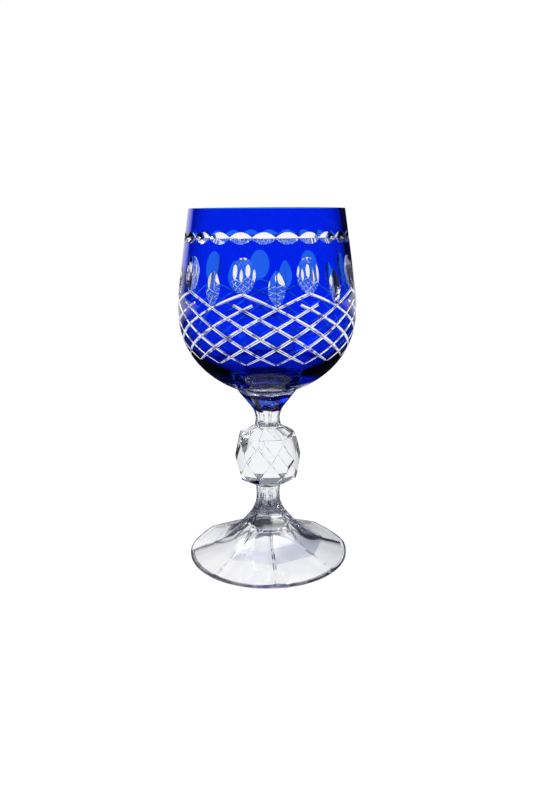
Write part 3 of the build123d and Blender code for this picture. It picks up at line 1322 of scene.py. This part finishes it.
@dataclass
class Foot:
    """The lower neck and the eight-sided, hollow-backed foot, measured from the axis to its flats."""

    radius: float = 38.3
    edge_height: float = 2.75
    edge_flat: float = 35.4
    ankle_flat: float = 18.4
    ankle_height: float = 8.6
    ankle_sweep: float = 25.0
    neck_top: float = 33.2
    neck_bottom: float = 25.3
    neck_top_sweep: float = 10.0
    neck_bottom_sweep: float = 15.0
    panel_spacing: float = 0.6
    ridge_bevel: float = 0.8
    ridge_segments: int = 5
    ridge_shade_band: Point = (0.2, 0.72)
    edge_bead: float = 1.2
    edge_rise: float = 0.3
    edge_run: Point = (1.5, 4.2)
    edge_spacing: float = 0.15
    painted_line_gap: Point = (0.7, 1.8)
    disc_height: float = 60.0
    ring_outside: float = 37.4
    ring_width: float = 1.6
    bend: Point = (19.5, 4.0)
    bend_sweep: float = 24.0
    hollow_top: Point = (7.0, 13.2)
    hollow_sweep: float = 5.0
    hollow_spacing: float = 0.7
    overrun: float = 2.0
    steps: int = 288
    smooth_angle: float = 6.0

    def panels(self) -> Piece:
        """Makes the eight-sided body of neck and foot, with its ridges rounded.

        Returns:
            The body, which runs past the round edge and below the table.
        """
        slope = (self.ankle_height - self.edge_height) / (self.edge_flat - self.ankle_flat)
        reach = self.radius + self.overrun
        panel = round_corners(
            [
                (JOINT_FLAT, LOW_JOINT),
                (NECK_FLAT, self.neck_top),
                (NECK_FLAT, self.neck_bottom),
                (self.ankle_flat, self.ankle_height),
                (reach, self.edge_height - (reach - self.edge_flat) * slope),
            ],
            [self.neck_top_sweep, self.neck_bottom_sweep, self.ankle_sweep],
            self.panel_spacing,
        )
        corner = 1 / cos(pi / SIDES)
        flats = [(0, LOW_JOINT), *panel, (reach, -self.overrun), (0, -self.overrun)]
        body = turn_on_lathe("foot_glass", [(flat * corner, z) for flat, z in flats], SIDES)
        bevel_ridges(body, self.ridge_bevel, self.ridge_segments)
        return body

    def round_edge(self) -> Piece:
        """Makes the disc that gives the foot its round, beaded edge."""
        inside = self.ring_outside - self.edge_run[0]
        corners = [
            (0, 0),
            (self.radius, 0),
            (self.radius, self.edge_height + self.edge_rise),
            (inside, self.edge_run[1]),
            (inside, self.disc_height),
            (0, self.disc_height),
        ]
        beads = [self.edge_bead, self.edge_bead, 0, 0]
        return turn_on_lathe("round_edge", round_corners(corners, beads, self.edge_spacing), self.steps)

    def hollow(self) -> Piece:
        """Makes the solid that hollows the foot's back."""
        inside = self.ring_outside - self.ring_width
        corners = [
            (0, -self.overrun),
            (inside, -self.overrun),
            (inside, 0),
            self.bend,
            self.hollow_top,
            (0, self.hollow_top[1]),
        ]
        sweeps = [0, 0, self.bend_sweep, self.hollow_sweep]
        return turn_on_lathe("hollow", round_corners(corners, sweeps, self.hollow_spacing), self.steps)

    def finish(self, face: Face) -> StemFinish:
        """Fused at the joint, painted shade in bands beside the ridges and in two lines round the edge, and
        spots of painted shade on the panels.

        Args:
            face: A face of the foot.

        Returns:
            Its finish.
        """
        out = face.center.xy.length / MM
        z = face.center.z / MM
        if face.center.z > LOW_JOINT * MM - WELD:
            return StemFinish.FUSED
        # Two lines of painted shade round the edge, with a clear gap between them.
        if out > self.radius - self.edge_bead and not self.painted_line_gap[0] <= z <= self.painted_line_gap[1]:
            return StemFinish.EDGE
        # Bands of painted shade beside the ridges.
        if face.normal.z > 0 and out < self.ring_outside and near_ridge(face, *self.ridge_shade_band):
            return StemFinish.RIDGE
        return StemFinish.NECK if z > self.neck_bottom else StemFinish.BODY

    def build(self) -> list[Piece]:
        """Makes the foot.

        Returns:
            The one piece, in a list.
        """
        foot = self.panels()
        disc = self.round_edge()
        combine(foot, disc, Join.KEEP)
        back = self.hollow()
        combine(foot, back, Join.CUT)
        discard(disc, back)
        dress(foot, [FOOT, SEAM, RIDGE, PRESSED, FOOT_RIDGE_SHADE])
        finish_faces(foot, self.finish)
        smooth(foot, self.smooth_angle)
        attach(foot, ROOT)
        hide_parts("foot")
        return [foot]


# The studio


@dataclass(frozen=True)
class Lamp:
    """A round soft lamp that points at the middle of the glass, with its places and size in metres."""

    name: str
    hangs_at: tuple[float, float, float]
    watts: float
    size: float = 0.5
    aims_at: tuple[float, float, float] = (0, 0, 0.08)

    def hang(self) -> None:
        """Hangs the lamp."""
        data = bpy.data.lights.new(self.name, "AREA")
        data.shape = "DISK"
        data.size = self.size
        data.energy = self.watts
        lamp = bpy.data.objects.new(self.name, data)
        bpy.context.scene.collection.objects.link(lamp)
        aim = Vector(self.aims_at) - Vector(self.hangs_at)
        turned = aim.to_track_quat("-Z", "Y").to_matrix().to_4x4()
        lamp.matrix_world = Matrix.Translation(self.hangs_at) @ turned


@dataclass
class Studio:
    """A pale table, a white room and soft lamps, with the camera where the photographer stood.

    Light that goes straight through the glass, that its outside mirrors, and that is mirrored inside it
    each meet their own view of the room. So the glass shows white fields with dark lines. Distances are in
    metres, but for the lens and its sensor, and heights in the room are the sines of their elevations.
    """

    camera_distance: float = 0.3285
    camera_height: float = 0.161
    camera_tilt: float = 14.24
    camera_azimuth: float = -5.7
    camera_roll: float = -0.3
    camera_shift: float = -0.0014
    lens: float = 32.333
    sensor_width: float = 36.0
    near_clip: float = 0.01
    table_radius: float = 4.0
    table_sides: int = 96
    table_glow: float = 0.75
    dark: Colour = (0.01, 0.01, 0.02)
    inner_dark: Colour = (0.03, 0.03, 0.045)
    inner_table: Colour = (0.3, 0.3, 0.33)
    outer_table_fade: Point = (0.45, 0.8)
    inner_table_fade: Point = (0.1, 0.4)
    sweep_fade: Point = (0.5, 0.7)
    outer_ceiling: Point = (0.65, 0.8)
    inner_ceiling: Point = (0.4, 0.6)
    box_azimuth: float = -18.0
    box_edge: Point = (0.9, 0.965)
    lamps: tuple[Lamp, ...] = (Lamp("key", (-0.5, 0.4, 0.8), 5), Lamp("fill", (0.6, -0.3, 0.8), 2))
    bounces: int = 32
    glossy_bounces: int = 12
    clear_bounces: int = 64

    @staticmethod
    def by_path(tree: Tree, straight: Colour | Socket, outer: Socket, inner: Socket) -> Socket:
        """Chooses what a ray meets: white for camera and matte glass, or one of three views of the room.

        Args:
            tree: The material or world that the nodes go into.
            straight: What is seen through the glass.
            outer: What the outside of the glass mirrors.
            inner: What is seen by way of a reflection inside the glass.

        Returns:
            The socket with the colour.
        """
        path = tree.nodes.new("ShaderNodeLightPath")
        plain = tree.nodes.new("ShaderNodeMath")
        plain.operation = "MAXIMUM"
        tree.links.new(path.outputs["Is Camera Ray"], plain.inputs[0])
        tree.links.new(path.outputs["Is Diffuse Ray"], plain.inputs[1])
        mirrored = blend_colours(tree, path.outputs["Transmission Depth"], outer, inner)
        seen = blend_colours(tree, path.outputs["Glossy Depth"], straight, mirrored)
        return blend_colours(tree, plain.outputs["Value"], seen, WHITE)

    def table(self) -> None:
        """Lays the pale table under the glass, which is part matte for the camera, to keep the shadow."""
        bpy.ops.object.select_all(action="DESELECT")
        bpy.ops.mesh.primitive_circle_add(
            vertices=self.table_sides, radius=self.table_radius, fill_type="NGON"
        )
        table = bpy.context.object
        table.name = "table"
        material = start_material("table_white")
        tree = material.node_tree
        nodes = tree.nodes
        link = tree.links.new
        geometry = nodes.new("ShaderNodeNewGeometry")
        split = nodes.new("ShaderNodeSeparateXYZ")
        link(geometry.outputs["Position"], split.inputs["Vector"])
        outer_share = share_between(tree, split.outputs["Y"], self.outer_table_fade)
        inner_share = share_between(tree, split.outputs["Y"], self.inner_table_fade)
        outer = blend_colours(tree, outer_share, self.dark, WHITE)
        inner = blend_colours(tree, inner_share, self.inner_table, self.inner_dark)
        glow = nodes.new("ShaderNodeEmission")
        link(self.by_path(tree, WHITE, outer, inner), glow.inputs["Color"])
        matte = nodes.new("ShaderNodeBsdfDiffuse")
        matte.inputs["Color"].default_value = (*WHITE, 1)
        path = nodes.new("ShaderNodeLightPath")
        share = nodes.new("ShaderNodeMapRange")
        share.inputs["To Min"].default_value = 1.0
        share.inputs["To Max"].default_value = self.table_glow
        mix = nodes.new("ShaderNodeMixShader")
        output = nodes.new("ShaderNodeOutputMaterial")
        link(path.outputs["Is Camera Ray"], share.inputs["Value"])
        link(share.outputs["Result"], mix.inputs["Fac"])
        link(matte.outputs["BSDF"], mix.inputs[1])
        link(glow.outputs["Emission"], mix.inputs[2])
        link(mix.outputs["Shader"], output.inputs["Surface"])
        table.data.materials.append(material)

    def boxed(self, tree: Tree, direction: Socket, ceiling: Point, dark: Colour) -> Socket:
        """A dark room with a soft box on the left, behind the glass, and a pale ceiling.

        Args:
            tree: The world's nodes.
            direction: The direction that is looked in.
            ceiling: The heights between which the ceiling sets in.
            dark: The colour of the dark part.

        Returns:
            The socket with the colour.
        """
        turn = radians(self.box_azimuth)
        values = {
            "Towards": (sin(turn), cos(turn), 0),
            "Outer": self.box_edge[0],
            "Inner": self.box_edge[1],
            "Ceiling From": ceiling[0],
            "Ceiling To": ceiling[1],
        }
        soft_box = use_group(tree, soft_box_group(), values)
        tree.links.new(direction, soft_box.inputs["Direction"])
        return blend_colours(tree, soft_box.outputs["Mask"], dark, WHITE)

    def room(self) -> None:
        """Lights the room. Seen straight through the glass, it is white low down and dark above."""
        world = bpy.data.worlds.new("room")
        bpy.context.scene.world = world
        world.use_nodes = True
        tree = world.node_tree
        tree.nodes.clear()
        direction = tree.nodes.new("ShaderNodeTexCoord").outputs["Generated"]
        split = tree.nodes.new("ShaderNodeSeparateXYZ")
        tree.links.new(direction, split.inputs["Vector"])
        above_sweep = share_between(tree, split.outputs["Z"], self.sweep_fade)
        straight = blend_colours(tree, above_sweep, WHITE, self.dark)
        outer = self.boxed(tree, direction, self.outer_ceiling, self.dark)
        inner = self.boxed(tree, direction, self.inner_ceiling, self.inner_dark)
        background = tree.nodes.new("ShaderNodeBackground")
        output = tree.nodes.new("ShaderNodeOutputWorld")
        tree.links.new(self.by_path(tree, straight, outer, inner), background.inputs["Color"])
        tree.links.new(background.outputs["Background"], output.inputs["Surface"])

    def camera(self) -> None:
        """Sets up the camera at the photographer's place."""
        data = bpy.data.cameras.new("camera")
        data.lens = self.lens
        data.sensor_width = self.sensor_width
        data.clip_start = self.near_clip
        data.shift_x = self.camera_shift
        camera = bpy.data.objects.new("camera", data)
        bpy.context.scene.collection.objects.link(camera)
        turn = radians(self.camera_azimuth)
        at = Vector((sin(turn), -cos(turn), 0)) * self.camera_distance + Vector((0, 0, self.camera_height))
        look = Matrix.Rotation(turn, 4, "Z") @ Matrix.Rotation(radians(90 - self.camera_tilt), 4, "X")
        roll = Matrix.Rotation(radians(self.camera_roll), 4, "Z")
        camera.matrix_world = Matrix.Translation(at) @ look @ roll
        bpy.context.scene.camera = camera

    def build(self) -> None:
        """Sets up the whole studio, and how far light is followed through the glass."""
        self.table()
        self.room()
        for lamp in self.lamps:
            lamp.hang()
        self.camera()
        scene = bpy.context.scene
        scene.view_settings.view_transform = "Standard"
        scene.cycles.max_bounces = self.bounces
        scene.cycles.transmission_bounces = self.bounces
        scene.cycles.glossy_bounces = self.glossy_bounces
        scene.cycles.transparent_max_bounces = self.clear_bounces


def main() -> None:
    """Builds the goblet and the studio, and notes how many faces each piece has."""
    logging.basicConfig(level=logging.INFO, format="%(message)s")
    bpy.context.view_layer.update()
    for section in (Bowl(), Stem(), Foot()):
        for piece in section.build():
            log.info("%s: %d faces, stands for its node", piece.name, len(piece.data.polygons))
    Studio().build()
    log.info("table, room, lamps and camera are in place")


if __name__ == "__main__":
    main()
